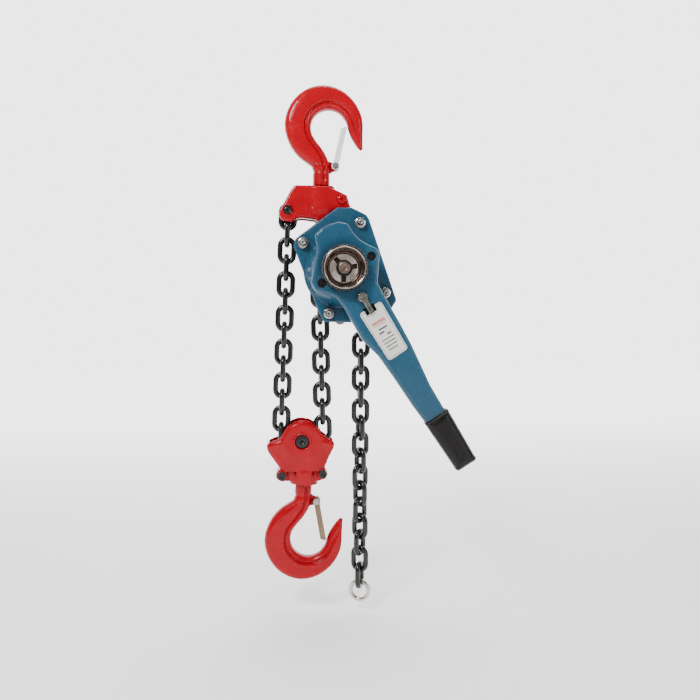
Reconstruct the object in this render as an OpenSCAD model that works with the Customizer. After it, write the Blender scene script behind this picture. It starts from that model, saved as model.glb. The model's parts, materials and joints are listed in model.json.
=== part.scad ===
// Two-fall chain lever hoist (come-along winch), millimetres.
// X right, Y away from the front, Z up; origin on the top hook's saddle.

/* [Hooks] */
// inner radius of both hook bowls
bowl_r = 32; // [28:1:36]
// radius of the hook neck
neck_r = 15; // [12:0.5:17]
// x of the top hook's shank axis
shank_x = -14; // [-18:1:-8]
// lean of the bottom hook, degrees
hook_lean = 3.2; // [0:0.1:5]

/* [Chain] */
// pitch of the load chain
pitch = 30; // [28:0.5:32]
// wire diameter of the load chain
wire_d = 9.6; // [9:0.1:10]
// inner length of one link
link_in = 31.2; // [30.4:0.1:31.6]
// inner width of one link
link_w = 14.6; // [14:0.1:15]
// distance of each fall from its sheave axis
fall_off = 38; // [37.4:0.1:38.6]
// twist of the free fall from link to link, degrees
twist = 6; // [0:1:8]

/* [Frame] */
// x of the hub axis
hub_x = 19.5; // [10:0.5:30]
// z of the hub axis
hub_z = -288; // [-300:1:-270]
// x of the idle sheave axis
idle_x = -49.5; // [-60:0.5:-40]
// tilt of the hoist frame, degrees
tilt = 20; // [10:1:30]
// half gap between the side plates
gap = 20.5; // [19:0.5:23]
// side plate thickness
plate_t = 6; // [4:0.5:8]

/* [Lever] */
// angle of the lever from vertical, degrees
lever_a = 31.5; // [20:0.5:40]
// y of the lever's front face
lev_front = -85; // [-90:1:-80]
// y of the lever's rear face
lev_back = -64; // [-68:1:-62]

/* [Gears] */
// gear module
gm = 2; // [1.5:0.1:2]
// teeth on the large gears
z_big = 32; // [24:4:36]
// teeth on the small gears
z_small = 12; // [12:4:16]

/* [Hidden] */
$fn = 64;
e = 0.05;
idle_z = hub_z - 10 * pitch;
flat_r = 34.5;
edge_r = 38.8;
arc_r = (link_w + wire_d) / 2;
gear_a = gm * (z_big + z_small) / 2;
hub = [hub_x, 0, hub_z];
idle = [idle_x, 0, idle_z];
dead_z = -189.6;
live_z = -297;
free_z = -327.8;
free_x = 55;
anchor = [-73.4, 0, dead_z + link_in / 2 - 6.9];
bowl = [0, 0, -bowl_r];
low_bowl = [-38.2, 0, -766.6];
latch_p = [10.8, 0, -67.7];
bolts = [[-46, 68.5], [60, 68.5], [-46, -61.5], [60, -61.5]];
holes = [[-43.7, -2.2], [50, -6.4]];
pawl_at = [[-18.2, 39, 94.8], [18.2, -39, 274.8]];
rollers = [[5.2, -352], [84, -300]];
red = [0.8, 0.01, 0.03];
blue = [0.06, 0.2, 0.32];
steel = [0.6, 0.6, 0.6];
black = [0.03, 0.03, 0.03];
bright = [0.75, 0.74, 0.72];

// ---- helpers -------------------------------------------------------------
// 2D shape (x, z) made solid from y0 to y1
module slab(y0, y1) {
  translate([0, y1, 0]) rotate([90, 0, 0]) linear_extrude(y1 - y0) children();
}
// cylinder along Y at (x, z)
module rod(x, z, r, y0, y1) {
  translate([x, y1, z]) rotate([90, 0, 0]) cylinder(r = r, h = y1 - y0);
}
// hexagonal prism along Y
module hexa(x, z, af, y0, y1) {
  translate([x, y1, z]) rotate([90, 0, 0]) cylinder(d = af / cos(30), h = y1 - y0, $fn = 6);
}
// ring along Y from a profile drawn as [radius, y]
module turned(p) {
  rotate([-90, 0, 0]) rotate_extrude() polygon(p);
}
module in_body() {
  translate(hub) rotate([0, -tilt, 0]) children();
}
module in_lever() {
  translate(hub) rotate([0, -lever_a, 0]) children();
}
module round2(r) {
  offset(r = r, $fn = 32) offset(delta = -r) children();
}
// toothed outline, one tooth centred on angle a0
function tooth_r(i, n, m) = m * n / 2 + (i % 4 < 2 ? 0.85 * m : -1.15 * m);
function tooth_a(i) = [-0.1, 0.1, 0.29, 0.71][i % 4] + floor(i / 4);
module gear2(n, m, a0) {
  polygon([for (i = [0:4 * n - 1])
    tooth_r(i, n, m) * [cos(a0 + tooth_a(i) * 360 / n), sin(a0 + tooth_a(i) * 360 / n)]]);
}
module saw2(n, ro, ri) {
  polygon([for (i = [0:n - 1], k = [0, 1])
    (k == 0 ? ro : ri) * [cos(360 * i / n), sin(360 * i / n)]]);
}

// ---- chain ---------------------------------------------------------------
// one link, long axis Z; facing links lie in the XZ plane
module half_bend() {
  rotate([90, 0, 0]) rotate_extrude(angle = 180) translate([arc_r, 0]) circle(d = wire_d, $fn = 24);
}
module link_facing() {
  s = link_in / 2 - link_w / 2;
  translate([0, 0, s]) half_bend();
  translate([0, 0, -s]) rotate([0, 180, 0]) half_bend();
  for (x = [-arc_r, arc_r]) translate([x, 0, -s]) cylinder(d = wire_d, h = 2 * s, $fn = 24);
}
module link(flat) {
  rotate([0, 0, flat ? 90 : 0]) link_facing();
}
// straight run of n links from (x0, z0) leaning towards (x1, z1)
module fall(x0, z0, x1, z1, n, odd, tw) {
  lean = atan2(x1 - x0, z0 - z1);
  translate([x0, 0, z0]) rotate([0, -lean, 0]) for (i = [0:n - 1]) {
    translate([0, 0, -pitch * i]) rotate([0, 0, tw * max(0, i - 6)]) link((i + odd) % 2 == 0);
  }
}
// links round a sheave 45 degrees apart, edge-on ones further out
module wrap(c, a0, n, odd) {
  for (i = [0:n - 1]) {
    flat = (i + odd) % 2 == 0;
    translate(c) rotate([0, -(a0 + 45 * i), 0]) translate([flat ? flat_r : edge_r, 0, 0]) link(flat);
  }
}

// ---- hooks ---------------------------------------------------------------
// stations of the forged curve: x, z, half width, half depth
hook_st = [[58.4, -37, 2.5, 3], [54.6, -28.5, 6.2, 6.5], [49, -9.5, 11.9, 10], [46.4, 6.5, 14.4, 12.5],
  [43, 20, 15.5, 14], [31.5, 37.5, 17, 16], [13.3, 49.7, 19.4, 18], [-9.4, 53.2, 22, 19],
  [-31.7, 45.3, 23.3, 19], [-48.3, 27.9, 23.8, 18.5], [-55.6, 4.9, 23.8, 18],
  [-51.2, -18.6, 22.4, 17.5], [-40.2, -35.7, 21.4, 17], [-27, -48.5, 19, 16.5],
  [-17.4, -60.5, 16.2, 15.5], [shank_x, -73, neck_r + 0.3, neck_r + 0.3], [shank_x, -84, 12, 12]];
function clampi(i) = max(0, min(len(hook_st) - 1, i));
function cr(a, b, c, d, t) = 0.5 * (2 * b + (c - a) * t + (2 * a - 5 * b + 4 * c - d) * t * t
  + (3 * b - a - 3 * c + d) * t * t * t);
function hook_at(u) = let (i = min(floor(u), len(hook_st) - 2), t = u - i)
  cr(hook_st[clampi(i - 1)], hook_st[i], hook_st[i + 1], hook_st[clampi(i + 2)], t);
function ring_at(u, n) = let (s = hook_at(u), a = hook_at(max(0, u - 0.1)),
  b = hook_at(min(len(hook_st) - 1, u + 0.1)), d = [b[0] - a[0], b[1] - a[1]],
  q = [-d[1], d[0]] / norm(d))
  [for (k = [0:n - 1]) let (c = cos(360 * k / n), v = sin(360 * k / n),
    w = s[2] * sign(c) * pow(abs(c), 0.85), y = s[3] * sign(v) * pow(abs(v), 0.85))
    [s[0] + q[0] * w, y, s[1] + q[1] * w]];
module hook_sweep() {
  n = 20;
  m = 3 * (len(hook_st) - 1);
  pts = [for (j = [0:m]) each ring_at(j / 3, n)];
  polyhedron(points = pts, faces = concat(
    [[for (k = [n - 1:-1:0]) k]],
    [[for (k = [0:n - 1]) m * n + k]],
    [for (j = [0:m - 1], k = [0:n - 1]) [j * n + k, (j + 1) * n + (k + 1) % n, (j + 1) * n + k]],
    [for (j = [0:m - 1], k = [0:n - 1]) [j * n + k, j * n + (k + 1) % n, (j + 1) * n + (k + 1) % n]]));
}
// hook in its own frame: bowl centre at the origin, shank pointing down
module hook_form(shoulder, tail) {
  difference() {
    union() {
      hook_sweep();
      translate([shank_x, 0, shoulder]) cylinder(r = neck_r, h = -80 - shoulder);
      translate([shank_x, 0, tail]) cylinder(r = 11, h = shoulder - tail + 1);
      slab(-3, 3) hull() {
        translate([latch_p[0], latch_p[2]]) circle(r = 6);
        translate([-6, latch_p[2] + 4]) square([2, 6]);
        translate([-6, latch_p[2] - 15]) square([2, 6]);
      }
    }
    rod(latch_p[0], latch_p[2], 3.05, -5, 5);
  }
}
module latch_form() {
  translate(latch_p) rotate([0, 13, 0]) {
    difference() {
      union() {
        for (y = [-8.2, 6.6]) slab(y, y + 1.6) {
          circle(r = 7);
          translate([-5, 0]) square([10, 66]);
          polygon([[-5, 65], [5, 65], [5, 71.5], [1, 71.5], [-5, 68]]);
        }
        slab(-7, 7) translate([3.4, 9]) square([1.6, 62.5]);
      }
      rod(0, 0, 3.05, -10, 10);
    }
  }
}
module latch_pin_form() {
  rod(latch_p[0], latch_p[2], 3, -8.6, 8.6);
  for (y = [-10.2, 8.5]) rod(latch_p[0], latch_p[2], 5.6, y, y + 1.7);
}
module latch_spring_form() {
  translate(latch_p) {
    for (y = [-5.7, -4.3, 4.3, 5.7]) translate([0, y, 0]) rotate([90, 0, 0])
      rotate_extrude() translate([4.1, 0]) circle(r = 0.6, $fn = 16);
  }
}
module top_frame() {
  translate(bowl) children();
}
module low_frame() {
  translate(low_bowl) rotate([0, hook_lean, 0]) mirror([0, 0, 1]) children();
}
module nut_form(z1, h) {
  difference() {
    translate([shank_x, 0, z1 - h]) cylinder(r = 16.5, h = h);
    translate([shank_x, 0, z1 - h - 1]) cylinder(r = 11.02, h = h + 2);
  }
}
module top_hook() {
  color(red) top_frame() hook_form(-103.6, -138);
}
module top_hook_nut() {
  color(steel) top_frame() nut_form(-122, 14);
}
module top_latch() {
  color(bright) top_frame() latch_form();
}
module top_latch_pin() {
  color(steel) top_frame() latch_pin_form();
}
module top_latch_spring() {
  color(steel) top_frame() latch_spring_form();
}
module bottom_hook() {
  color(red) low_frame() hook_form(-98.9, -119.6);
}
module bottom_hook_nut() {
  color(steel) low_frame() nut_form(-109.6, 9.4);
}
module bottom_latch() {
  color([0.55, 0.45, 0.33]) low_frame() latch_form();
}
module bottom_latch_pin() {
  color(steel) low_frame() latch_pin_form();
}
module bottom_latch_spring() {
  color(steel) low_frame() latch_spring_form();
}

// ---- yoke and frame ------------------------------------------------------
yoke_pts = [[-61, -136.4], [-68, -144], [-87.6, -181.5], [-89.6, -190], [-84, -198], [-73.4, -201.5],
  [-64.5, -200], [-57, -194.5], [-48, -193.5], [-26, -196], [-14, -208], [2, -213], [14, -205],
  [30, -204.5], [44, -200], [47, -189], [36, -170.3], [31, -152.4], [14.2, -144.6], [-0.4, -138.8],
  [-29, -136]];
frame_b = [[10, 90], [46, 84]];
module yoke_half(y0, y1) {
  difference() {
    union() {
      slab(y0, y1) round2(3) polygon(yoke_pts);
      intersection() {
        translate([shank_x, 0, -174]) cylinder(r = 24, h = 38);
        translate([-80, min(y0, 0.15 * sign(y1)), -210]) cube([120, 19.65, 90]);
      }
    }
    translate([shank_x, 0, -200]) cylinder(r = 11.1, h = 80);
    translate([shank_x, 0, -171]) cylinder(r = 17, h = 17.4);
    slab(-17.5, 17.5) translate([-80.6, -230]) square([13.2, 36.2]);
    rod(anchor[0], anchor[2], 6.52, -30, 30);
    rod(21.4, -160.4, 5.02, -30, 30);
    in_body() for (p = frame_b) rod(p[0], p[1], 6.02, -30, 30);
  }
}
module yoke_front() {
  color(red) yoke_half(-19.8, -6.4);
}
module yoke_rear() {
  color(red) yoke_half(6.4, 19.8);
}
module yoke_rivet() {
  color(red) {
    rod(21.4, -160.4, 5, -20, 20);
    for (y = [-22.4, 20]) rod(21.4, -160.4, 8.7, y, y + 2.4);
  }
}
module chain_anchor_pin() {
  color(black) {
    rod(anchor[0], anchor[2], 6.5, -21, 21);
    for (y = [-23, 21]) rod(anchor[0], anchor[2], 7.2, y, y + 2);
  }
}
module frame_pins() {
  color(steel) in_body() for (p = frame_b) {
    rod(p[0], p[1], 6, -26.4, 26.4);
  }
}
side_pts = [[-61, 68], [-50, 80], [30, 104], [53, 96.5], [72, 77], [73.5, 68], [71.5, -79], [56, -91.5],
  [20, -99.5], [-57, -70.5], [-59.5, -54]];
cover_pts = [[-63.5, 69.8], [-56, 80.6], [31, 107.4], [55.5, 99], [75.6, 78.6], [78, 69.9],
  [75.4, -81], [57, -95], [20, -103], [-59.6, -73], [-62, -54]];
module side_plate(y0) {
  difference() {
    in_body() slab(y0, y0 + plate_t) round2(4) polygon(side_pts);
    rod(hub_x, hub_z, 22.05, y0 - 1, y0 + plate_t + 1);
    in_body() {
      for (p = frame_b) rod(p[0], p[1], 6.02, y0 - 1, y0 + plate_t + 1);
      for (p = bolts) rod(p[0], p[1], 5.02, y0 - 1, y0 + plate_t + 1);
    }
    rod(hub_x, -371, 6.02, y0 - 1, y0 + plate_t + 1);
    for (p = rollers) rod(p[0], p[1], 4.02, y0 - 1, y0 + plate_t + 1);
  }
}
module front_side_plate() {
  color(blue) side_plate(-gap - plate_t);
}
module rear_side_plate() {
  color(blue) side_plate(gap);
}
module stay_bolts() {
  color(steel) in_body() {
    for (i = [0, 1, 3]) {
      rod(bolts[i][0], bolts[i][1], 5, -44, 36);
      rod(bolts[i][0], bolts[i][1], 7, -gap + e, gap - e);
    }
    rod(bolts[2][0], bolts[2][1], 5, -44, -gap + 0.2);
    rod(bolts[2][0], bolts[2][1], 5, gap - 0.2, 36);
  }
}
module cover_nuts() {
  color(bright) in_body() for (p = bolts) {
    difference() {
      union() {
        rod(p[0], p[1], 9.6, -32.1, -30.2);
        hexa(p[0], p[1], 15.5, -39.5, -32);
      }
      rod(p[0], p[1], 5.02, -50, 0);
    }
    difference() {
      hexa(p[0], p[1], 15.5, 27, 33);
      rod(p[0], p[1], 5.02, 20, 40);
    }
  }
}
module guide_rollers() {
  color(steel) for (p = rollers) {
    rod(p[0], p[1], 4, -gap - 5, gap + 5);
  }
}
module chain_stripper() {
  color(steel) {
    rod(hub_x, -371, 6, -gap - 5, gap + 5);
    difference() {
      slab(-5, 5) hull() {
        translate([hub_x, -371]) circle(r = 10);
        translate([hub_x - 4, -318]) square([8, 2]);
      }
      rod(hub_x, -371, 6, -20, 20);
    }
  }
}

// ---- load sheave, gears and shaft ------------------------------------------
module load_sheave() {
  color([0.35, 0.35, 0.36]) translate(hub) {
    turned([[9.1, -gap - plate_t], [22, -gap - plate_t], [22, -18.6], [29, -18.4], [29, -7], [18.4, -6.4],
      [18.4, 6.4], [29, 7], [29, 18.4], [22, 18.6], [22, gap + plate_t + 0.4],
      [15, gap + plate_t + 0.4], [15, 38], [9.1, 38]]);
    for (a = [22:90:292], y = [-18.2, 7.2]) rotate([0, -a, 0])
      translate([28, y, -2.6]) cube([4.4, 11, 5.2]);
  }
}
module gear_solid(n, a0, bore, y0, y1) {
  difference() {
    slab(y0, y1) gear2(n, gm, a0);
    rod(0, 0, bore, y0 - 1, y1 + 1);
  }
}
module load_gear() {
  color(steel) in_body() gear_solid(z_big, 90, 15.02, 28.5, 37.5);
}
module disc_gear(s) {
  color(steel) in_body() translate([0, 0, s * gear_a]) {
    gear_solid(z_big, -90 * s + 180 / z_big, 9, 42, 50);
    gear_solid(z_small, -90 * s + 180 / z_small, 3, 28.6, 42.4);
    rod(0, 0, 9.4, 41, 50.5);
    rod(0, 0, 4.5, 27.2, 55.5);
  }
}
module disc_gear_upper() {
  disc_gear(1);
}
module disc_gear_lower() {
  disc_gear(-1);
}
module gear_plate() {
  color(steel) difference() {
    in_body() slab(53, 55) hull() {
      translate([0, 30]) circle(r = 46);
      translate([0, -30]) circle(r = 46);
    }
    rod(hub_x, hub_z, 9.08, 50, 58);
    in_body() for (s = [-1, 1]) rod(0, s * gear_a, 4.58, 50, 58);
  }
}
module gear_cover() {
  color(blue) difference() {
    in_body() {
      slab(26.8, 30) round2(4) polygon(side_pts);
      slab(29, 62) hull() {
        translate([0, 36]) circle(r = 52);
        translate([0, -34]) circle(r = 52);
      }
    }
    in_body() {
      slab(26, 59) hull() {
        translate([0, 36]) circle(r = 49.5);
        translate([0, -34]) circle(r = 49.5);
      }
      for (p = bolts) rod(p[0], p[1], 9.6, 26, 66);
      for (p = frame_b) rod(p[0], p[1], 8, 26, 31);
    }
  }
}
module drive_shaft() {
  color(steel) translate(hub) {
    rod(0, 0, 9, -96, 57);
    rotate([0, -tilt, 0]) slab(42, 51) gear2(z_small, gm, 90);
  }
}
module brake_hub() {
  color(steel) translate(hub) turned([[9.05, -40.5], [16, -40.5], [16, -36.5], [30, -36.5], [30, -31], [9.05, -31]]);
}
module friction_discs() {
  color([0.3, 0.22, 0.16]) translate(hub) {
    turned([[16.6, -39.6], [29, -39.6], [29, -36.8], [16.6, -36.8]]);
    turned([[16.6, -48.6], [29, -48.6], [29, -45.8], [16.6, -45.8]]);
  }
}
module ratchet_disc() {
  color(steel) in_body() difference() {
    slab(-45.5, -39.9) saw2(16, 34, 30);
    rod(0, 0, 16.6, -50, -30);
  }
}
// pawl drawn about its pivot, pointing to its tooth
module pawl(s) {
  q = pawl_at[s];
  tip = 32.8 * [cos(q[2]), sin(q[2])] - [q[0], q[1]];
  color(steel) in_body() translate([q[0], 0, q[1]]) difference() {
    slab(-45.4, -40) hull() {
      circle(r = 5.5);
      translate(tip) circle(r = 1.4, $fn = 24);
    }
    rod(0, 0, 4.05, -50, -30);
  }
}
module pawl_left() {
  pawl(0);
}
module pawl_right() {
  pawl(1);
}
module pawl_pins() {
  color(steel) in_body() for (q = pawl_at) {
    rod(q[0], q[1], 4, -48.5, -27);
    rod(q[0], q[1], 6, -49.5, -46.5);
  }
}
module pawl_springs() {
  color(steel) in_body() for (q = pawl_at, y = [-31, -33, -35, -37]) translate([q[0], y, q[1]])
    rotate([90, 0, 0]) rotate_extrude() translate([5.4, 0]) circle(r = 0.7, $fn = 16);
}
module brake_cover() {
  color(blue) difference() {
    in_body() {
      slab(-30, -27) round2(5) polygon(cover_pts);
      turned([[56, -29], [52, -52], [47, -58], [40, -61], [20, -61], [20, -59], [20, -29]]);
    }
    in_body() {
      turned([[0, -26], [0, -58.5], [39, -58.5], [45, -56], [49.6, -50], [53, -26]]);
      for (p = bolts) rod(p[0], p[1], 5.1, -35, -20);
    }
    rod(hub_x, hub_z, 22.4, -70, -50);
  }
}
module changeover_gear() {
  color(steel) in_lever() difference() {
    union() {
      slab(-80, -68) gear2(18, 2.6, 90);
      rod(0, 0, 21, -68.1, -49.4);
    }
    rod(0, 0, 9.05, -90, -40);
  }
}
module hand_wheel() {
  color(bright) translate(hub) difference() {
    turned([[25.2, -83], [28.8, -83], [28.8, -88], [36.6, -88], [38.2, -90], [38.2, -103], [36.8, -105.6],
      [34.4, -106], [32, -104.4], [31, -101], [31, -92], [29.6, -90], [25.2, -90]]);
    for (a = [0:20:340]) rotate([0, a, 0]) rod(41.6, 0, 4, -110, -86);
  }
}
module hand_wheel_disc() {
  color(bright) translate(hub) difference() {
    turned([[9.05, -84.5], [25, -84.5], [25, -80.6], [9.05, -80.6]]);
    for (a = [-130, -12, 92]) rotate([0, a, 0]) translate([10.5, -86, -3.2]) cube([20, 4, 6.4]);
  }
}
module shaft_nut() {
  color([0.4, 0.36, 0.33]) translate(hub) turned([[9.02, -92], [12.4, -92], [13.2, -91], [13.2, -85], [9.02, -85]]);
}

// ---- lever -----------------------------------------------------------------
lev_pts = [[-12, 73], [2, 76.5], [18, 76], [34, 71], [44.5, 61], [45, 43], [48.8, 27.4], [57, 12],
  [64.5, 2], [65.5, -9], [57, -21], [36.5, -50], [35, -81], [34, -129], [32, -168], [23.6, -245],
  [23, -300], [-16.5, -300], [-20.4, -261], [-22.5, -211], [-26, -157], [-35.5, -118], [-34.8, -85],
  [-34, -56], [-36.5, -36], [-46, -23], [-60.5, -6.5], [-59.5, 8], [-40.5, 29], [-21.5, 50]];
module lever_shape() {
  round2(4) polygon(lev_pts);
}
module lever_front() {
  color(blue) in_lever() difference() {
    slab(lev_front, lev_back - 10) lever_shape();
    slab(lev_front + 2.5, lev_back) offset(delta = -2.5) lever_shape();
    rod(0, 0, 29.4, lev_front - 1, lev_back);
    for (p = holes) rod(p[0], p[1], 7.4, lev_front - 1, lev_front + 5);
    translate([-8.5, -90, -88]) cube([20, 12, 13]);
  }
  color(blue) in_lever() for (p = holes) slab(lev_front + 2, lev_back - 10) translate(p) difference() {
    circle(r = 9.6);
    circle(r = 7.4);
  }
}
module lever_rear() {
  color(blue) in_lever() difference() {
    slab(lev_back - 9.7, lev_back) lever_shape();
    slab(lev_back - 20, lev_back - 2.5) offset(delta = -2.5) lever_shape();
    rod(0, 0, 21.4, -100, -50);
    for (p = holes) rod(p[0], p[1], 4.02, -100, -50);
  }
}
module lever_bolts() {
  color(black) in_lever() for (p = holes) {
    rod(p[0], p[1], 4, lev_front + 10, lev_back + 0.6);
    rod(p[0], p[1], 7, lev_front + 6, lev_front + 11);
  }
}
module lever_grip() {
  color(black) in_lever() difference() {
    slab(-92, -57) round2(5) polygon([[-19.5, -294], [28.5, -293], [26.6, -394], [23, -397], [-11, -397],
      [-14.4, -394]]);
    slab(lev_front - 0.1, lev_back + 0.1) intersection() {
      offset(delta = 0.1) lever_shape();
      translate([-40, -303]) square([90, 20]);
    }
  }
}
module name_plate() {
  color([0.9, 0.9, 0.88]) in_lever() slab(lev_front - 1.2, lev_front) difference() {
    round2(5) polygon([[-18.4, -78.4], [24.3, -78], [22.6, -170.6], [-16, -171.8]]);
    translate([-8.5, -88]) square([20, 13]);
  }
}
module selector_lever() {
  color(bright) in_lever() {
    rod(1, -57, 8, -93.6, -90.8);
    slab(-93.6, -90.8) translate([-3, -82]) square([8, 22]);
    slab(-93.6, -77.2) translate([-3, -85]) square([8, 3.4]);
    slab(-80, -77.2) difference() {
      hull() {
        translate([-3, -85]) square([8, 3.4]);
        translate([1, -100]) circle(r = 8);
      }
      translate([1, -100]) circle(r = 4.02);
    }
  }
}
module selector_shaft() {
  color(steel) in_lever() {
    rod(1, -100, 4, -81.5, lev_back - 2.8);
    rod(1, -100, 7, -76.9, -75);
  }
}
module changeover_pawl() {
  color(steel) in_lever() translate([0, 0, -46]) difference() {
    slab(-79, -69) polygon([[-15, 3], [-16.5, 9.5], [-7, 7], [7, 7], [16.5, 9.5], [15, 3], [8, -7.5],
      [-8, -7.5]]);
    rod(0, 0, 4.05, -90, -60);
  }
}
module changeover_pin() {
  color(steel) in_lever() {
    rod(0, -46, 4, -82.4, lev_back - 2.52);
  }
}

// ---- chain nodes -----------------------------------------------------------
module dead_fall_chain() {
  color(black) fall(anchor[0], dead_z, idle_x - fall_off, idle_z, 14, 1, 0);
}
module live_fall_chain() {
  color(black) fall(hub_x - fall_off, live_z, idle_x + fall_off, idle_z, 10, 0, 0);
}
module free_fall_chain() {
  color(black) fall(hub_x + fall_off, free_z, free_x, free_z - 17 * pitch, 18, 0, twist);
}
module end_stop_ring() {
  color(bright) translate([free_x, 0, free_z - 17 * pitch - 28.2]) rotate([0, 0, 66]) rotate([0, 90, 0])
    rotate_extrude() translate([17, 0]) circle(d = 8, $fn = 24);
}
module load_wrap_chain() {
  color(black) wrap(hub, 22, 3, 1);
}
module idle_wrap_chain() {
  color(black) wrap(idle, 246, 2, 1);
}

// ---- bottom block ------------------------------------------------------------
shell_pts = [[-18, 31.5], [-7, 35.5], [2, 35.5], [14, 30.5], [29, 15], [47, 3.5], [55, -1], [58, -8],
  [56, -16], [40, -49], [45.5, -60], [42, -69], [31, -74], [-36, -73], [-47, -67.5], [-46, -57],
  [-39, -50.5], [-60, -21], [-63.5, -9.5], [-58, -3], [-40, 4], [-29, 19]];
ears = [[-35.5, -62.5], [36.6, -60]];
pin_z = 2;
module shell_half(y0, y1, s) {
  difference() {
    union() {
      translate(idle + [0, 0, pin_z]) slab(y0, y1) round2(4) polygon(shell_pts);
      translate(idle + [0, 0, pin_z]) slab(s < 0 ? y0 - 4 : y1 - 1, s < 0 ? y0 + 1 : y1 + 4) circle(r = 37);
      low_frame() translate([shank_x, 0, -124]) cylinder(r = 25.5, h = 24.4);
    }
    translate(idle) slab(-18.6, 18.6) hull() {
      circle(r = 57.5);
      translate([-57.5, 0]) square([115, 60]);
    }
    rod(idle_x, idle_z, 8.02, -40, 40);
    rod(idle_x, idle_z, 13, s < 0 ? -40 : 23.9, s < 0 ? -23.9 : 40);
    low_frame() {
      translate([shank_x, 0, -130]) cylinder(r = 17, h = 20.7);
      translate([shank_x, 0, -140]) cylinder(r = 11.1, h = 90);
    }
    for (p = ears) rod(idle_x + p[0], idle_z + pin_z + p[1], 5.02, -40, 40);
    translate([-200, s < 0 ? -0.15 : -40, -900]) cube([400, 40.15, 500]);
  }
}
module block_front_shell() {
  color(red) shell_half(-22.5, 0, -1);
}
module block_rear_shell() {
  color(red) shell_half(0, 22.5, 1);
}
module idle_sheave() {
  color([0.35, 0.35, 0.36]) translate(idle) turned([[8.1, -18.2], [29, -18.2], [29, -7], [18.4, -6.4],
    [18.4, 6.4], [29, 7], [29, 18.2], [8.1, 18.2]]);
}
module idle_sheave_pin() {
  color(black) translate(idle) {
    rod(0, 0, 8, -25, 25);
    for (y = [-25.8, 24]) rod(0, 0, 11.6, y, y + 1.8);
  }
}
module block_bolts() {
  color(black) for (p = ears) {
    x = idle_x + p[0];
    z = idle_z + pin_z + p[1];
    rod(x, z, 5, -27, 28);
    hexa(x, z, 14, -28, -22.6);
    hexa(x, z, 14, 22.6, 28);
  }
}

top_hook();
top_hook_nut();
top_latch();
top_latch_pin();
top_latch_spring();
yoke_front();
yoke_rear();
yoke_rivet();
chain_anchor_pin();
frame_pins();
front_side_plate();
rear_side_plate();
stay_bolts();
cover_nuts();
guide_rollers();
chain_stripper();
load_sheave();
load_gear();
load_wrap_chain();
disc_gear_upper();
disc_gear_lower();
gear_plate();
gear_cover();
drive_shaft();
brake_hub();
friction_discs();
ratchet_disc();
pawl_left();
pawl_right();
pawl_pins();
pawl_springs();
brake_cover();
hand_wheel();
hand_wheel_disc();
shaft_nut();
changeover_gear();
lever_front();
lever_rear();
lever_bolts();
lever_grip();
name_plate();
selector_lever();
selector_shaft();
changeover_pawl();
changeover_pin();
dead_fall_chain();
live_fall_chain();
free_fall_chain();
end_stop_ring();
idle_wrap_chain();
block_front_shell();
block_rear_shell();
idle_sheave();
idle_sheave_pin();
block_bolts();
bottom_hook();
bottom_hook_nut();
bottom_latch();
bottom_latch_pin();
bottom_latch_spring();
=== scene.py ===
"""Looks for the two-fall chain lever hoist: paint, plate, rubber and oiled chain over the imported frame."""

import json
import math

import bmesh
import bpy
import numpy as np
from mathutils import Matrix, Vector


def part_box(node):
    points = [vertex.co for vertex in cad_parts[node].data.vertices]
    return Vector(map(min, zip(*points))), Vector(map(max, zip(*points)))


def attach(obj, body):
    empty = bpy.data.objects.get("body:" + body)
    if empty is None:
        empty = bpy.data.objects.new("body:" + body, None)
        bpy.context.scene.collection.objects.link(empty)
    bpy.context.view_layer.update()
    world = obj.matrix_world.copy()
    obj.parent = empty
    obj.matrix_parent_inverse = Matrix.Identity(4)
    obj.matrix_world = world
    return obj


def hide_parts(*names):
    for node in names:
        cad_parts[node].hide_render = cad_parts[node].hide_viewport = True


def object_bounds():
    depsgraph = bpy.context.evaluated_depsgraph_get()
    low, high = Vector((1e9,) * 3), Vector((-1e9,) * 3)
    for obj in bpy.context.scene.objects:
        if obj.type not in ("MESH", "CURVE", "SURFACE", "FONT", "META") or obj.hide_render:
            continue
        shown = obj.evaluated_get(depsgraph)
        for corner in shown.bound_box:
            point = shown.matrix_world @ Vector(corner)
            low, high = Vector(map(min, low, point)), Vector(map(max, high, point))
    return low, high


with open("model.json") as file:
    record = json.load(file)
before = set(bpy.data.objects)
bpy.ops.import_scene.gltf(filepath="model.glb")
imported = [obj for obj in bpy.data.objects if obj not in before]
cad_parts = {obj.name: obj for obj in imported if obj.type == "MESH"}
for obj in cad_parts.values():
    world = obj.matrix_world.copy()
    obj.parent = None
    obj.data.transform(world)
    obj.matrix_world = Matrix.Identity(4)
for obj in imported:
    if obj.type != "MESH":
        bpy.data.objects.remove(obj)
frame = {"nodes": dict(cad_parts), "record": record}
cad_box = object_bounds()
MM = 0.001
AXIS_R = 0.02 * MM  # the radius at which a turned profile closes on its axis
LEVER_ANGLE = math.radians(31.5)
BODY_ANGLE = math.radians(20)


def body_of_node(node):
    for body, nodes in frame["record"]["behaviour"]["bodies"].items():
        if node in nodes:
            return body
    raise KeyError(node)


def centre(node):
    low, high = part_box(node)
    return (Vector(low) + Vector(high)) / 2


HUB = centre("shaft_nut")
PIN = centre("idle_sheave")


def turned_point(angle, across, up, y):
    """A point given in a frame that is turned about the hub, in metres."""
    c, s = math.cos(angle), math.sin(angle)
    return Vector((HUB.x + across * c - up * s, y, HUB.z + across * s + up * c))


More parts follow.
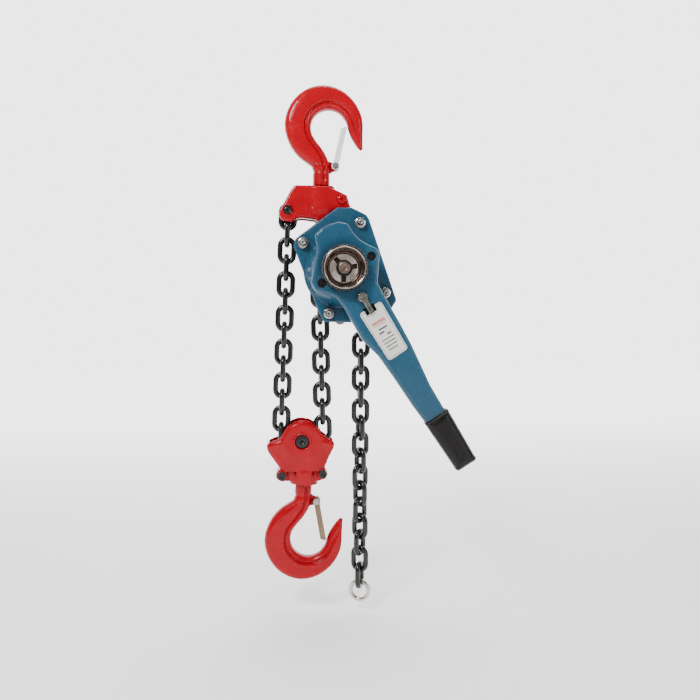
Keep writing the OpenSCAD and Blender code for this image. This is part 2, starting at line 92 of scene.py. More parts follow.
# ---- materials ---------------------------------------------------------------
def material(name, base, rough, metal=0.0, coat=0.0, specular=0.5, tint=0.12, tint_scale=35.0, grain=0.0,
             grain_scale=700.0, cast=0.0, cast_scale=160.0, rough_spread=0.1, edge=0.0, edge_colour=None,
             hollow_shade=0.0, stretch=None):
    m = bpy.data.materials.new(name)
    m.use_nodes = True
    nodes, links = m.node_tree.nodes, m.node_tree.links
    shader = nodes["Principled BSDF"]
    shader.inputs["Metallic"].default_value = metal
    shader.inputs["Coat Weight"].default_value = coat
    shader.inputs["Coat Roughness"].default_value = 0.08
    shader.inputs["Specular IOR Level"].default_value = specular
    coords = nodes.new("ShaderNodeTexCoord").outputs["Object"]
    if stretch:
        mapping = nodes.new("ShaderNodeMapping")
        mapping.inputs["Scale"].default_value = stretch
        links.new(coords, mapping.inputs["Vector"])
        coords = mapping.outputs["Vector"]

    def noise(scale, detail=4.0, roughness=0.55):
        n = nodes.new("ShaderNodeTexNoise")
        n.inputs["Scale"].default_value = scale
        n.inputs["Detail"].default_value = detail
        n.inputs["Roughness"].default_value = roughness
        links.new(coords, n.inputs["Vector"])
        return n.outputs["Fac"]

    def mix(factor, a, b):
        n = nodes.new("ShaderNodeMix")
        n.data_type = "RGBA"
        links.new(factor, n.inputs["Factor"])
        for socket, value in ((n.inputs[6], a), (n.inputs[7], b)):
            if hasattr(value, "default_value"):
                links.new(value, socket)
            else:
                socket.default_value = (*value, 1.0)
        return n.outputs[2]

    def ranged(value, low, high, to_low, to_high):
        n = nodes.new("ShaderNodeMapRange")
        n.inputs["From Min"].default_value = low
        n.inputs["From Max"].default_value = high
        n.inputs["To Min"].default_value = to_low
        n.inputs["To Max"].default_value = to_high
        links.new(value, n.inputs["Value"])
        return n.outputs["Result"]

    dark = tuple(c * (1 - tint) for c in base)
    light = tuple(min(1.0, c * (1 + tint)) for c in base)
    colour = mix(ranged(noise(tint_scale), 0.3, 0.7, 0, 1), dark, light)
    # painted highlight: convex edges (high pointiness) are lightened towards edge_colour, a lit tone of the
    # surface
    if edge:
        point = nodes.new("ShaderNodeNewGeometry").outputs["Pointiness"]
        edge_highlight = ranged(point, 0.53, 0.6, 0, edge)
        colour = mix(edge_highlight, colour, edge_colour or light)
    # painted shade: where AO finds hollows, corners and gaps within 22 mm, the colour is darkened towards a
    # quarter of the base colour
    if hollow_shade:
        shade = nodes.new("ShaderNodeAmbientOcclusion")
        shade.samples = 8
        shade.inputs["Distance"].default_value = 0.022
        hollow = ranged(shade.outputs["AO"], 0.35, 0.95, hollow_shade, 0)
        colour = mix(hollow, colour, tuple(c * 0.25 for c in base))
    links.new(colour, shader.inputs["Base Color"])
    low_r, high_r = max(0.02, rough - rough_spread), min(1.0, rough + rough_spread)
    links.new(ranged(noise(tint_scale * 2.7, 6), 0.3, 0.7, low_r, high_r), shader.inputs["Roughness"])
    normal = None
    for weight, scale, detail in ((cast, cast_scale, 5.0), (grain, grain_scale, 2.0)):
        if weight:
            bump = nodes.new("ShaderNodeBump")
            bump.inputs["Strength"].default_value = weight
            bump.inputs["Distance"].default_value = 0.0006
            links.new(noise(scale, detail), bump.inputs["Height"])
            if normal:
                links.new(normal, bump.inputs["Normal"])
            normal = bump.outputs["Normal"]
    if normal:
        links.new(normal, shader.inputs["Normal"])
    return m


RED = (0.37, 0.0, 0.007)
BLUE = (0.016, 0.072, 0.128)
# hollow_shade sets how strongly each material gets that painted shade in its hollows
MATS = {
    "red": material("red_forging_paint", RED, 0.2, specular=0.22, tint=0.08, grain=0.05,
                    grain_scale=420, cast=0.18, cast_scale=120, hollow_shade=0.55),
    "red_cast": material("red_cast_paint", RED, 0.18, specular=0.24, tint=0.1, grain=0.05,
                         grain_scale=380, cast=0.22, cast_scale=90, hollow_shade=0.75),
    # the blue's edge_colour is its lit tone and the chain's a light grey: painted highlight along their edges
    "blue": material("blue_pressing_paint", BLUE, 0.27, specular=0.38, tint=0.1, tint_scale=12,
                     grain=0.04, grain_scale=520, hollow_shade=0.85, edge=0.4, edge_colour=(0.04, 0.2, 0.33)),
    "chain": material("oiled_black_chain", (0.007, 0.0066, 0.007), 0.22, metal=0.25, coat=0.25, tint=0.5,
                      tint_scale=90, grain=0.35, grain_scale=420, rough_spread=0.12, edge=0.3,
                      edge_colour=(0.06, 0.06, 0.06)),
    "chrome": material("wheel_plate", (0.50, 0.42, 0.36), 0.1, metal=1.0, tint=0.1, tint_scale=30,
                       rough_spread=0.04, hollow_shade=0.85),
    "disc": material("turned_disc", (0.80, 0.69, 0.61), 0.3, metal=0.35, tint=0.06, tint_scale=60, grain=0.06,
                     grain_scale=900, hollow_shade=0.5),
    "shaft": material("ground_shaft", (0.15, 0.105, 0.085), 0.42, metal=0.8, tint=0.2, tint_scale=90,
                      grain=0.1, hollow_shade=0.4),
    "bright": material("bright_plate", (0.62, 0.60, 0.55), 0.2, metal=1.0, tint=0.08, tint_scale=60,
                       grain=0.04, hollow_shade=0.8),
    "bronze": material("selector_plate", (0.42, 0.39, 0.36), 0.24, metal=1.0, tint=0.08, tint_scale=40,
                       grain=0.04, hollow_shade=0.6),
    "steel": material("machined_steel", (0.36, 0.36, 0.36), 0.34, metal=1.0, tint=0.15, tint_scale=90,
                      grain=0.25, grain_scale=800),
    "latch": material("zinc_sheet", (0.88, 0.88, 0.87), 0.3, metal=0.1, tint=0.04, tint_scale=70, grain=0.05,
                      hollow_shade=0.3),
    "brass": material("passivated_sheet", (0.20, 0.145, 0.095), 0.3, metal=0.9, tint=0.3, tint_scale=40,
                      grain=0.15, hollow_shade=0.6),
    "iron": material("sheave_iron", (0.10, 0.095, 0.09), 0.45, metal=0.8, tint=0.3, grain=0.3),
    "black": material("black_oxide", (0.009, 0.008, 0.008), 0.3, metal=0.3, tint=0.3, grain=0.2, coat=0.2),
    "rubber": material("grip_rubber", (0.0045, 0.0035, 0.003), 0.34, specular=0.25, tint=0.35,
                       tint_scale=45, grain=0.35, grain_scale=1300, cast=0.3, cast_scale=60, rough_spread=0.12),
    "enamel": material("white_enamel", (0.72, 0.71, 0.68), 0.35, coat=0.2, tint=0.04, tint_scale=25),
    "print_dark": material("grey_print", (0.04, 0.04, 0.045), 0.5, tint=0.4, tint_scale=300),
    "print_warm": material("orange_print", (0.50, 0.09, 0.03), 0.5, tint=0.25, tint_scale=300),
    "wall": material("wheel_wall", (0.085, 0.048, 0.034), 0.25, metal=0.8, tint=0.2, tint_scale=40,
                     grain=0.05, hollow_shade=0.5),
    "slot": material("wheel_slot", (0.022, 0.014, 0.011), 0.5, tint=0.3, tint_scale=60, grain=0.1),
    "lining": material("brake_lining", (0.12, 0.08, 0.05), 0.8, tint=0.4, tint_scale=200, grain=0.6),
    "floor": material("studio_floor", (0.90, 0.90, 0.90), 0.7, tint=0.01, tint_scale=3),
}
CAD_MATERIALS = {
    "red": ["top_hook", "bottom_hook", "yoke_rivet"],
    "red_cast": ["yoke_front", "yoke_rear", "block_front_shell", "block_rear_shell"],
    "blue": ["front_side_plate", "rear_side_plate", "gear_cover", "brake_cover", "lever_front", "lever_rear"],
    "chain": ["dead_fall_chain", "live_fall_chain", "free_fall_chain", "load_wrap_chain", "idle_wrap_chain"],
    "chrome": ["hand_wheel"],
    "disc": ["hand_wheel_disc"],
    "shaft": ["shaft_nut", "drive_shaft", "selector_shaft"],
    "bright": ["cover_nuts", "stay_bolts", "end_stop_ring"],
    "bronze": ["selector_lever"],
    "latch": ["top_latch"],
    "brass": ["bottom_latch"],
    "iron": ["load_sheave", "idle_sheave"],
    "black": ["chain_anchor_pin", "lever_bolts", "idle_sheave_pin", "block_bolts", "changeover_gear"],
    "rubber": ["lever_grip"],
    "enamel": ["name_plate"],
    "lining": ["friction_discs"],
}


def dress(obj, mat):
    obj.data.materials.clear()
    obj.data.materials.append(MATS[mat])


dressed = {node: mat for mat, nodes in CAD_MATERIALS.items() for node in nodes}
for node, obj in frame["nodes"].items():
    for slot in obj.material_slots:
        slot.material = MATS[dressed.get(node, "steel")]


# ---- mesh helpers --------------------------------------------------------------
def piece(name, mesh, mat, body, replaced=()):
    obj = bpy.data.objects.new(name, mesh)
    bpy.context.scene.collection.objects.link(obj)
    dress(obj, mat)
    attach(obj, body)
    if replaced:
        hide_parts(*replaced)
    return obj


def solid(name, verts, faces):
    """A mesh from points and faces, with its normals turned outwards."""
    mesh = bpy.data.meshes.new(name)
    mesh.from_pydata(verts, [], faces)
    bm = bmesh.new()
    bm.from_mesh(mesh)
    bmesh.ops.recalc_face_normals(bm, faces=bm.faces)
    bm.to_mesh(mesh)
    bm.free()
    return mesh


def applied(mesh, *modifiers):
    """The mesh after the given (kind, settings) modifiers."""
    obj = bpy.data.objects.new("work", mesh)
    bpy.context.scene.collection.objects.link(obj)
    for kind, settings in modifiers:
        mod = obj.modifiers.new(kind, kind)
        for key, value in settings.items():
            setattr(mod, key, value)
    bpy.context.view_layer.update()
    done = bpy.data.meshes.new_from_object(obj.evaluated_get(bpy.context.evaluated_depsgraph_get()))
    bpy.data.objects.remove(obj)
    return done


def points(mesh):
    co = np.empty(len(mesh.vertices) * 3)
    mesh.vertices.foreach_get("co", co)
    return co.reshape(-1, 3)


def set_points(mesh, co):
    mesh.vertices.foreach_set("co", co.astype(np.float64).ravel())
    mesh.update()


def smooth_shaded(mesh):
    mesh.polygons.foreach_set("use_smooth", np.ones(len(mesh.polygons), bool))
    return mesh


def remeshed(mesh, voxel, rounds):
    """The mesh on an even voxel grid, then smoothed."""
    return applied(mesh, ("REMESH", {"mode": "VOXEL", "voxel_size": voxel}),
                   ("SMOOTH", {"factor": 0.5, "iterations": rounds}))


def softened(node, voxel, rounds):
    """A CAD node's solid, remeshed finely and eased along its edges."""
    mesh = frame["nodes"][node].data.copy()
    bm = bmesh.new()
    bm.from_mesh(mesh)
    bmesh.ops.remove_doubles(bm, verts=bm.verts, dist=1e-6)
    bm.to_mesh(mesh)
    bm.free()
    return smooth_shaded(remeshed(mesh, voxel, rounds))


def front_outline(node, y, tolerance=2e-5):
    """The longest closed edge loop that a CAD node's flat face at y has, as (x, z) points."""
    bm = bmesh.new()
    bm.from_mesh(frame["nodes"][node].data)
    bmesh.ops.remove_doubles(bm, verts=bm.verts, dist=1e-6)
    faces = {f for f in bm.faces if all(abs(v.co.y - y) < tolerance for v in f.verts)}
    rim = {e for f in faces for e in f.edges if sum(g in faces for g in e.link_faces) == 1}
    loops = []
    while rim:
        edge = rim.pop()
        loop = [edge.verts[0], edge.verts[1]]
        while True:
            step = next((e for e in loop[-1].link_edges if e in rim), None)
            if step is None:
                break
            rim.discard(step)
            loop.append(step.other_vert(loop[-1]))
        if loop[0] == loop[-1]:
            loop.pop()
        loops.append([(v.co.x, v.co.z) for v in loop])
    bm.free()
    return max(loops, key=lambda p: sum(math.dist(p[i - 1], p[i]) for i in range(len(p))))


def edge_distance(co, outline, keep=None):
    """Distance in the XZ plane from each point to the closed outline, or to the parts that keep accepts."""
    a = np.array(outline)
    b = np.roll(a, -1, axis=0)
    p = co[:, [0, 2]]
    best = np.full(len(p), 1e9)
    for start, end in zip(a, b):
        if keep and not keep((start + end) / 2):
            continue
        d = end - start
        t = np.clip(((p - start) @ d) / max(d @ d, 1e-18), 0, 1)
        best = np.minimum(best, np.hypot(*(p - (start + t[:, None] * d)).T))
    return best


def prism(outline, y0, y1, holes=()):
    """A solid from an (x, z) outline with round or polygonal holes."""
    curve = bpy.data.curves.new("outline", "CURVE")
    curve.dimensions = "2D"
    curve.fill_mode = "BOTH"
    curve.extrude = (y1 - y0) / 2
    for ring in [outline, *holes]:
        spline = curve.splines.new("POLY")
        spline.points.add(len(ring) - 1)
        for point, (x, z) in zip(spline.points, ring):
            point.co = (x, z, 0, 1)
        spline.use_cyclic_u = True
    obj = bpy.data.objects.new("outline", curve)
    bpy.context.scene.collection.objects.link(obj)
    mesh = bpy.data.meshes.new_from_object(obj.evaluated_get(bpy.context.evaluated_depsgraph_get()))
    bpy.data.objects.remove(obj)
    co = points(mesh)
    set_points(mesh, np.column_stack([co[:, 0], (y0 + y1) / 2 + co[:, 2], co[:, 1]]))
    bm = bmesh.new()
    bm.from_mesh(mesh)
    bmesh.ops.remove_doubles(bm, verts=bm.verts, dist=1e-6)
    bmesh.ops.recalc_face_normals(bm, faces=bm.faces)
    bm.to_mesh(mesh)
    bm.free()
    return mesh


def ring_points(x, z, r, n=48):
    return [(x + r * math.cos(2 * math.pi * i / n), z + r * math.sin(2 * math.pi * i / n)) for i in range(n)]


def rolled(mesh, outlines, y_face, radius, side=-1, keep=None):
    """Rolls a flat face's rim over by a radius: outlines are the rims, side -1 the front face."""
    co = points(mesh)
    d = np.full(len(co), 1e9)
    for outline in outlines:
        d = np.minimum(d, edge_distance(co, outline, keep))
    drop = radius - np.sqrt(np.clip(radius**2 - np.clip(radius - d, 0, radius) ** 2, 0, None))
    depth = (co[:, 1] - y_face) * -side
    reach = np.clip(1 - depth / (2.2 * radius), 0, 1)
    co[:, 1] += -side * drop * reach
    set_points(mesh, co)
    return mesh


def lathe(profile, x, z, steps=128, flute=None):
    """A closed ring about the Y axis through (x, z), from (radius, y) points."""
    verts, faces = [], []
    n = len(profile)
    for i in range(steps):
        a = 2 * math.pi * i / steps
        for r, y in profile:
            k = flute(a, r, y) if flute else r
            verts.append((x + k * math.cos(a), y, z + k * math.sin(a)))
    for i in range(steps):
        for j in range(n):
            a, b = i * n + j, i * n + (j + 1) % n
            c, d = ((i + 1) % steps) * n + (j + 1) % n, ((i + 1) % steps) * n + j
            faces.append((a, b, c, d))
    return smooth_shaded(solid("lathe", verts, faces))


def eased(corners, radius, steps=5):
    """A closed profile with its corners rounded."""
    out = []
    n = len(corners)
    for i in range(n):
        p, a, b = (Vector(corners[k]) for k in (i, i - 1, (i + 1) % n))
        u, v = (a - p), (b - p)
        cut = min(radius, u.length * 0.45, v.length * 0.45)
        u.normalize()
        v.normalize()
        for k in range(steps + 1):
            t = k / steps
            q = (p + u * cut) * (1 - t) ** 2 + p * 2 * t * (1 - t) + (p + v * cut) * t**2
            out.append((q.x, q.y))
    return out


def joined(meshes):
    bm = bmesh.new()
    for mesh in meshes:
        bm.from_mesh(mesh)
    done = bpy.data.meshes.new("joined")
    bm.to_mesh(done)
    bm.free()
    return done


# ---- forged hooks ----------------------------------------------------------------
HOOK_LEAN = math.radians(3.2)
BOWL_R = 32 * MM
seat = next(m for m in frame["record"]["mounts"] if m["name"] == "load_hook_seat")["pos_m"]
LOW_BOWL = (seat[0] + BOWL_R * math.sin(HOOK_LEAN), seat[2] + BOWL_R * math.cos(HOOK_LEAN))
ARC = [(32 * math.cos(math.radians(a)), 32 * math.sin(math.radians(a))) for a in range(10, 219, 8)]
INNER_EDGE = [(56, -36), (48.7, -26.6), (38, -8), *ARC, (-13, -35.6), (-3.1, -52.9), (1.1, -70.8), (1, -110)]


def polyline_distance(p, line):
    best = np.full(len(p), 1e9)
    for start, end in zip(np.array(line[:-1]), np.array(line[1:])):
        d = end - start
        t = np.clip(((p - start) @ d) / (d @ d), 0, 1)
        best = np.minimum(best, np.hypot(*(p - (start + t[:, None] * d)).T))
    return best


def hook_plane(co, low):
    """Points in the hook's own plane, bowl centre at the origin and shank downwards, in mm."""
    if not low:
        return np.column_stack([co[:, 0], co[:, 2] + BOWL_R]) / MM
    x, z = co[:, 0] - LOW_BOWL[0], co[:, 2] - LOW_BOWL[1]
    c, s = math.cos(HOOK_LEAN), math.sin(HOOK_LEAN)
    return np.column_stack([x * c - z * s, -(x * s + z * c)]) / MM


def forged(node, low):
    """Die-flattened flanks with a rolled bead following the inside of the bowl."""
    mesh = softened(node, 1.0 * MM, 6)
    co = points(mesh)
    p = hook_plane(co, low)
    y = np.abs(co[:, 1]) / MM
    in_throat = np.clip((p[:, 1] + 100) / 8, 0, 1)
    cap = 16.5
    flat = cap * (1 - np.exp(-((y / cap) ** 3))) ** (1 / 3)
    d = polyline_distance(p, INNER_EDGE)
    groove = 1 - 0.24 * np.exp(-(((d - 10.5) / 2.1) ** 2)) * in_throat * np.clip((58 - p[:, 0]) / 12, 0, 1)
    blend = np.where(p[:, 1] > -66, flat, y) * groove
    co[:, 1] = np.sign(co[:, 1]) * blend * MM
    set_points(mesh, co)
    return smooth_shaded(applied(mesh, ("SMOOTH", {"factor": 0.5, "iterations": 2})))


for node, low in (("top_hook", False), ("bottom_hook", True)):
    piece(node + "_forging", forged(node, low), "red", body_of_node(node), [node])

# ---- yoke ---------------------------------------------------------------------------
YOKE_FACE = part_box("yoke_front")[0][1]
anchor, rivet = centre("chain_anchor_pin"), centre("yoke_rivet")
STROKES = [(-40, -180, 0.5), (-35, -182, -0.4), (-30, -180, 0.2), (-25, -183, -0.3), (-34, -187, 1.5)]


def yoke_casting(node, side):
    mesh = softened(node, 0.8 * MM, 8)
    face = YOKE_FACE * -side
    rolled(mesh, [front_outline("yoke_front", YOKE_FACE)], face, 5 * MM, side=side)
    co = points(mesh)
    x, z = co[:, 0] / MM, co[:, 2] / MM
    outer = np.clip((np.abs(co[:, 1]) / MM - 15) / 4, 0, 1)
    ends = np.clip((z + 188) / 10, 0, 1) * np.clip((-137 - z) / 3, 0, 1)
    barrel = 2.4 * np.exp(-(((x + 14) / 15) ** 4)) * ends
    for sx, sz, slope in STROKES:
        across = (x - sx) - slope * (z - sz) * 0.4
        barrel += 1.0 * np.exp(-((across / 1.5) ** 2) - (((z - sz) / 3.6) ** 4))
    co[:, 1] += side * barrel * outer * MM
    set_points(mesh, co)
    return smooth_shaded(remeshed(mesh, 0.8 * MM, 6))


piece("yoke_front_casting", yoke_casting("yoke_front", -1), "red_cast", "hoist_body", ["yoke_front"])
piece("yoke_rear_casting", yoke_casting("yoke_rear", 1), "red_cast", "hoist_body", ["yoke_rear"])


def ring_band(x, z, inner, outer, face, rise, side=-1):
    """A half-round raised ring on a flat face."""
    mid, half = (inner + outer) / 2, (outer - inner) / 2
    turns = [math.pi * k / 8 for k in range(9)]
    arc = [(mid + half * math.cos(a), face + side * rise * math.sin(a)) for a in turns]
    base = [(inner, face - side * 0.6 * MM), (outer, face - side * 0.6 * MM)]
    return lathe([*arc, *base], x, z, 96)


def head(x, z, radius, face, rise, socket, side=-1):
    """A domed pin head with a rim groove and a round socket."""
    rows = [(radius, 0), (radius, 0.55), (radius * 0.96, 0.8), (radius * 0.86, 0.9), (radius * 0.8, 0.62),
            (radius * 0.74, 0.9), (socket * 1.25, 1.0), (socket, 0.9), (socket * 0.9, 0.35), (AXIS_R, 0.3),
            (AXIS_R, 0)]
    return lathe([(r, face + side * rise * h) for r, h in rows], x, z, 72)


def headed_pin(at, radius, seat, low, high, socket, stem):
    """A pin along Y with a head at each end; seat is how far its heads' undersides are from y = 0."""
    return joined([head(at.x, at.z, radius, -seat, -seat - low, socket),
                   head(at.x, at.z, radius, seat, high - seat, socket, 1),
                   lathe([(stem, -seat), (stem, seat), (1 * MM, seat), (1 * MM, -seat)], at.x, at.z, 48)])


piece("yoke_rings", joined([ring_band(anchor.x, anchor.z, 7.6 * MM, 10.6 * MM, YOKE_FACE, 1.6 * MM),
                            ring_band(anchor.x, anchor.z, 7.6 * MM, 10.6 * MM, -YOKE_FACE, 1.6 * MM, 1)]),
      "red_cast", "hoist_body")
rivet_low, rivet_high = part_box("yoke_rivet")
rivet_heads = headed_pin(rivet, 8.7 * MM, -YOKE_FACE, rivet_low[1], rivet_high[1], 3 * MM, 5 * MM)
piece("yoke_rivet_heads", rivet_heads, "red", "hoist_body", ["yoke_rivet"])
anchor_low, anchor_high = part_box("chain_anchor_pin")
anchor_heads = headed_pin(anchor, 7.2 * MM, 21 * MM, anchor_low[1], anchor_high[1], 2.6 * MM, 6.5 * MM)
piece("anchor_pin_heads", anchor_heads, "black", "hoist_body", ["chain_anchor_pin"])

# ---- block ----------------------------------------------------------------------------
CHEEK_RISE = 4
TIPS = [(-61, -8), (56, -6)]


SHELL_DEPTH = 22.5
SHELL_FACE = -SHELL_DEPTH * MM
CHEEK_R = 37
LINE = -54
COLLAR_X, COLLAR_R = 3.6, 24.2
EAR_AT = [(-35.5, -60.5), (36.6, -58)]


def off_cheek(mid):
    """True for rim edges that belong neither to the cheek's circle nor to the collar."""
    away = math.hypot(mid[0] - PIN.x, mid[1] - PIN.z) > (CHEEK_R + 1) * MM
    return away and abs(mid[0] - PIN.x - COLLAR_X * MM) > 13 * MM


def block_casting(node):
    """Shell with a soft cheek, ridges out to both tips, and a round collar between the two ears."""
    mesh = softened(node, 0.9 * MM, 8)
    co = points(mesh)
    p = np.column_stack([co[:, 0] - PIN.x, co[:, 2] - PIN.z]) / MM
    r = np.hypot(*p.T)
    depth = np.abs(co[:, 1]) / MM
    cheek_soft = np.clip((45 - r) / 15, 0, 1)
    height = SHELL_DEPTH + CHEEK_RISE * cheek_soft**2 * (3 - 2 * cheek_soft)
    for tx, tz in TIPS:
        d = polyline_distance(p, [(0.0, 4.0), (tx, tz)])
        ridge = 3.2 * np.exp(-((d / 9) ** 2)) * np.clip((64 - r) / 22, 0, 1)
        height = np.maximum(height, SHELL_DEPTH + ridge)
    rim = edge_distance(co, front_outline("block_front_shell", SHELL_FACE), off_cheek) / MM
    crown = np.abs(np.degrees(np.arctan2(p[:, 1], p[:, 0])) - 89) < 74
    rim = np.where(crown, np.minimum(rim, np.abs(CHEEK_R - r)), rim)
    radius = 7.0
    height -= radius - np.sqrt(np.clip(radius**2 - np.clip(radius - rim, 0, radius) ** 2, 0, None))
    height = np.where(r < 12.4, 22.8, height)
    collar = np.sqrt(np.clip(COLLAR_R**2 - (p[:, 0] - COLLAR_X) ** 2, 16.8**2, None))
    for ex, ez in EAR_AT:
        off_ear = np.hypot(p[:, 0] - ex, p[:, 1] - ez) - 9.5
        collar = np.maximum(collar, SHELL_DEPTH - 6 * np.clip(off_ear / 2, 0, 1))
    low = p[:, 1] < LINE
    skin = depth > 21.6
    depth = np.where(low, np.where(depth > 16.5, np.minimum(depth, collar), depth),
                     np.where(skin, height, np.where(depth > 15.5, np.minimum(depth, height), depth)))
    co[:, 1] = np.sign(co[:, 1]) * depth * MM
    set_points(mesh, co)
    return smooth_shaded(remeshed(mesh, 0.9 * MM, 7))


for face in ("front", "rear"):
    shell = f"block_{face}_shell"
    piece(f"block_{face}_casting", block_casting(shell), "red_cast", "block_body", [shell])
cheek = SHELL_FACE - CHEEK_RISE * MM
piece("pin_rings", joined([ring_band(PIN.x, PIN.z, 12.6 * MM, 16.6 * MM, cheek, 1.3 * MM),
                           ring_band(PIN.x, PIN.z, 12.6 * MM, 16.6 * MM, -cheek, 1.3 * MM, 1)]),
      "red_cast", "block_body")
pin_low, pin_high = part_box("idle_sheave_pin")
piece("pin_heads", headed_pin(PIN, 11.6 * MM, 24 * MM, pin_low[1], pin_high[1], 4.6 * MM, 8 * MM),
      "black", "block_body", ["idle_sheave_pin"])

# ---- covers ----------------------------------------------------------------------------
FLANGE_FACE = -30 * MM
cover_rim = front_outline("brake_cover", FLANGE_FACE)
cover_plate = softened("brake_cover", 1.1 * MM, 8)
rolled(cover_plate, [cover_rim], FLANGE_FACE, 2.6 * MM)
SKIRT_R = np.linspace(43, 66, 26) * MM
SKIRT_STEPS = 240


def cover_skirt():
    """The slope that runs from the dome out to the flange, as a thin shell about the hub."""
    turn = np.linspace(0, 2 * np.pi, SKIRT_STEPS, endpoint=False)
    r, a = np.meshgrid(SKIRT_R, turn)
    co = np.column_stack([HUB.x + (r * np.cos(a)).ravel(), np.zeros(r.size), HUB.z + (r * np.sin(a)).ravel()])
    to_rim = edge_distance(co, cover_rim) / (10 * MM)
    rise = np.clip(np.minimum((65 * MM - r.ravel()) / (18 * MM), to_rim), 0, 1)
    co[:, 1] = FLANGE_FACE + 0.4 * MM - 31.5 * MM * rise**2 * (3 - 2 * rise)
    under = co + np.array([0, 1.2 * MM, 0])
    n, total = len(SKIRT_R), len(co)
    faces = []
    for i in range(SKIRT_STEPS):
        k = (i + 1) % SKIRT_STEPS
        for j in range(n - 1):
            quad = (i * n + j, i * n + j + 1, k * n + j + 1, k * n + j)
            faces += [quad, tuple(q + total for q in reversed(quad))]
        faces += [(i * n, k * n, k * n + total, i * n + total),
                  (i * n + n - 1, i * n + n - 1 + total, k * n + n - 1 + total, k * n + n - 1)]
    mesh = bpy.data.meshes.new("skirt")
    mesh.from_pydata([tuple(p) for p in np.vstack([co, under])], [], faces)
    return mesh


piece("brake_cover_pressing", smooth_shaded(joined([cover_plate, cover_skirt()])), "blue", "hoist_body",
      ["brake_cover"])
piece("gear_cover_pressing", softened("gear_cover", 1.0 * MM, 10), "blue", "hoist_body", ["gear_cover"])
for node, voxel in (("top_latch", 0.5), ("bottom_latch", 0.5)):
    piece(node + "_sheet", softened(node, voxel * MM, 3), dressed[node], body_of_node(node), [node])
for hook in ("top", "bottom"):
    pin_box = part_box(hook + "_latch_pin")
    at = centre(hook + "_latch_pin")
    heads = [ring_band(at.x, at.z, 3.1 * MM, 5.5 * MM, face - side * 0.5 * MM, 0.5 * MM, side)
             for face, side in ((pin_box[0][1], -1), (pin_box[1][1], 1))]
    piece(hook + "_latch_pin_rings", joined(heads), "wall", body_of_node(hook + "_latch_pin"))


# ---- chain -----------------------------------------------------------------------------
def islands(node):
    """The point sets of the separate solids of a CAD node."""
    bm = bmesh.new()
    bm.from_mesh(frame["nodes"][node].data)
    bmesh.ops.remove_doubles(bm, verts=bm.verts, dist=1e-6)
    left, found = set(bm.verts), []
    while left:
        stack, group = [left.pop()], []
        while stack:
            v = stack.pop()
            group.append(tuple(v.co))
            for e in v.link_edges:
                w = e.other_vert(v)
                if w in left:
                    left.discard(w)
                    stack.append(w)
        found.append(np.array(group))
    bm.free()
    return found


WIRE = 4.8 * MM
LINK_ARC = 12.1 * MM
LINK_STRAIGHT = 8.3 * MM


def link_rows(around, across):
    """A link in its own frame: long axis Z, width along X."""
    run = 2 * LINK_STRAIGHT
    bend = math.pi * LINK_ARC
    total = 2 * (run + bend)
    verts = []
    for i in range(around):
        s = total * i / around
        if s < run:
            c, n = (LINK_ARC, s - LINK_STRAIGHT), (1.0, 0.0)
        elif s < run + bend:
            a = (s - run) / LINK_ARC
            n = (math.cos(a), math.sin(a))
            c = (LINK_ARC * n[0], LINK_STRAIGHT + LINK_ARC * n[1])
        elif s < 2 * run + bend:
            c, n = (-LINK_ARC, LINK_STRAIGHT - (s - run - bend)), (-1.0, 0.0)
        else:
            a = math.pi + (s - 2 * run - bend) / LINK_ARC
            n = (math.cos(a), math.sin(a))
            c = (LINK_ARC * n[0], -LINK_STRAIGHT + LINK_ARC * n[1])
        for k in range(across):
            b = 2 * math.pi * k / across
            out = WIRE * math.cos(b)
            verts.append((c[0] + n[0] * out, WIRE * math.sin(b), c[1] + n[1] * out))
    return np.array(verts)


AROUND, ACROSS = 64, 20


def chain_mesh(node):
    base = link_rows(AROUND, ACROSS)
    verts, faces = [], []
    for group in islands(node):
        middle = group.mean(axis=0)
        spread = group - middle
        axes = np.linalg.eigh(spread.T @ spread)[1]
        long, wide = axes[:, 2], axes[:, 1]
        for axis in (long, wide, np.cross(long, wide)):
            reach = spread @ axis
            middle = middle + axis * (reach.max() + reach.min()) / 2
        start = len(verts)
        thick = np.cross(long, wide)
        rows = middle + base[:, [0]] * wide + base[:, [2]] * long + base[:, [1]] * thick
        verts.extend(map(tuple, rows))
        for i in range(AROUND):
            for k in range(ACROSS):
                j, l = (i + 1) % AROUND, (k + 1) % ACROSS
                faces.append((start + i * ACROSS + k, start + i * ACROSS + l, start + j * ACROSS + l,
                              start + j * ACROSS + k))
    return smooth_shaded(solid(node, verts, faces))


for node in CAD_MATERIALS["chain"]:
    piece(node + "_links", chain_mesh(node), "chain", body_of_node(node), [node])

# ---- lever -------------------------------------------------------------------------
lever_low, lever_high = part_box("lever_front")
rear_low, rear_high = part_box("lever_rear")
LEVER_OUT = front_outline("lever_front", lever_low[1])
HUB_HOLE = 29.4 * MM
BOLT_HOLE = 7.4 * MM
BOLT_SEATS = [(-43.7 * MM, -2.2 * MM), (50 * MM, -6.4 * MM)]
seats = [turned_point(LEVER_ANGLE, a, u, 0) for a, u in BOLT_SEATS]
rims = [ring_points(HUB.x, HUB.z, HUB_HOLE, 96)] + [ring_points(p.x, p.z, BOLT_HOLE) for p in seats]
slot_corners = [(-8.5, -88), (11.5, -88), (11.5, -75), (-8.5, -75)]
slot_rim = [(q.x, q.z) for q in (turned_point(LEVER_ANGLE, a * MM, u * MM, 0) for a, u in slot_corners)]
lever_mesh = remeshed(prism(LEVER_OUT, lever_low[1], lever_high[1], rims + [slot_rim]), 0.9 * MM, 10)
rolled(lever_mesh, [LEVER_OUT], lever_low[1], 5.5 * MM)
co = points(lever_mesh)
on_face = np.clip(1 - (co[:, 1] - lever_low[1]) / (3 * MM), 0, 1)
rings = np.full(len(co), 1e9)
for rim in rims[1:]:
    rings = np.minimum(rings, edge_distance(co, rim) / MM)
